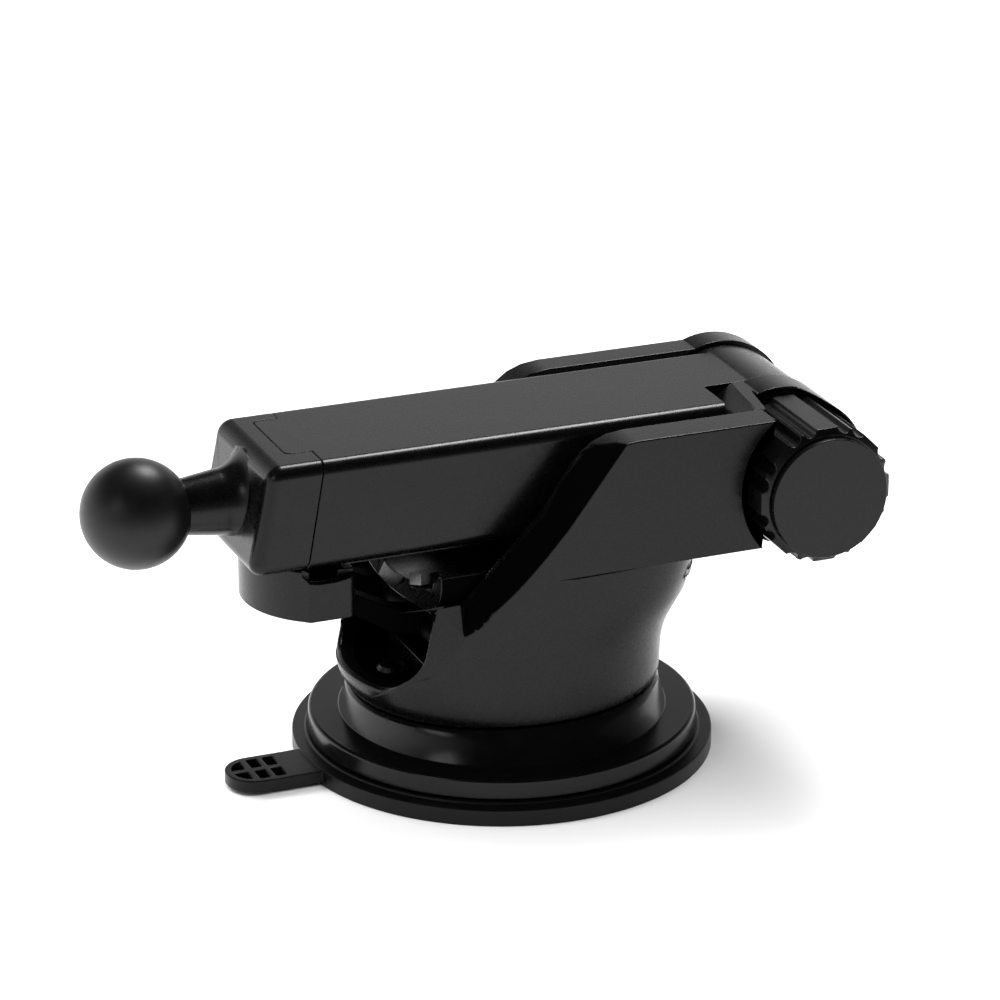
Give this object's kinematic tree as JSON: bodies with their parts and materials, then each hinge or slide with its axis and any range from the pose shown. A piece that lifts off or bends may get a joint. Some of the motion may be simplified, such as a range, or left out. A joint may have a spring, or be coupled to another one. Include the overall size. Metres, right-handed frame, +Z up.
{
  "type": "car phone mount base",
  "caption": "Suction-cup dashboard mount base with a folding telescopic arm, clamp knob, suction lever and ball stud for a phone holder.",
  "frame": {"origin": "centre of the suction pad's underside", "axes": "+Z up off the mounting surface, the folded arm and its ball point to -X, the clamp knob faces -Y"},
  "size_m": [0.1223, 0.0662, 0.0566],
  "materials": {
    "black_plastic": "satin black moulded plastic",
    "knob_plastic": "satin black moulded plastic",
    "pad_rubber": "soft black gel pad",
    "ball_rubber": "matt black ball",
    "nylon": "dark grey",
    "steel": "zinc plated",
    "dark_steel": "blackened",
    "brass": "machined"
  },
  "bodies": {
    "foot": {"suction_pad": "pad_rubber", "suction_disc": "nylon", "base_ring": "black_plastic", "housing": "black_plastic", "base_screw_1": "dark_steel", "base_screw_2": "dark_steel", "base_screw_3": "dark_steel", "lever_pin": "steel", "lever_catch": "black_plastic", "clamp_bolt": "steel", "return_spring": "steel"},
    "post": {"pull_post": "nylon"},
    "lever": {"suction_lever": "black_plastic"},
    "arm": {"arm_sleeve": "black_plastic", "arm_bottom_cover": "black_plastic", "cover_screw_1": "dark_steel", "cover_screw_2": "dark_steel"},
    "slider": {"inner_slider": "nylon", "end_cap": "black_plastic", "ball": "ball_rubber"},
    "washer": {"thrust_washer": "steel"},
    "knob": {"knob_body": "knob_plastic", "knob_cap": "knob_plastic", "knob_insert": "brass"}
  },
  "joints": [
    {"name": "arm_pitch", "type": "hinge", "parent": "foot", "child": "arm", "pos_m": [0.0428, 0, 0.0446], "axis": [0, 1, 0], "range_deg": [0, 180]},
    {"name": "arm_extend", "type": "slide", "parent": "arm", "child": "slider", "axis": [-1, 0, 0], "range_m": [0, 0.04]},
    {"name": "knob_shift", "type": "slide", "parent": "foot", "child": "washer", "axis": [0, -1, 0], "range_m": [0, 0.0016]},
    {"name": "knob_turn", "type": "hinge", "parent": "washer", "child": "knob", "pos_m": [0.0428, -0.02, 0.0446], "axis": [0, -1, 0], "range_deg": [0, 720]},
    {"name": "lever_fold", "type": "hinge", "parent": "foot", "child": "lever", "pos_m": [-0.015, 0, 0.0256], "axis": [0, -1, 0], "range_deg": [0, 45]},
    {"name": "post_lift", "type": "slide", "parent": "foot", "child": "post", "axis": [0, 0, 1], "range_m": [0, 0.00241], "deforming": ["return_spring"]}
  ],
  "couplings": [
    {"joint": "knob_turn", "follows": "knob_shift", "rad_per_m": 7853.9},
    {"joint": "post_lift", "follows": "lever_fold", "m_per_rad": 0.0030558}
  ]
}
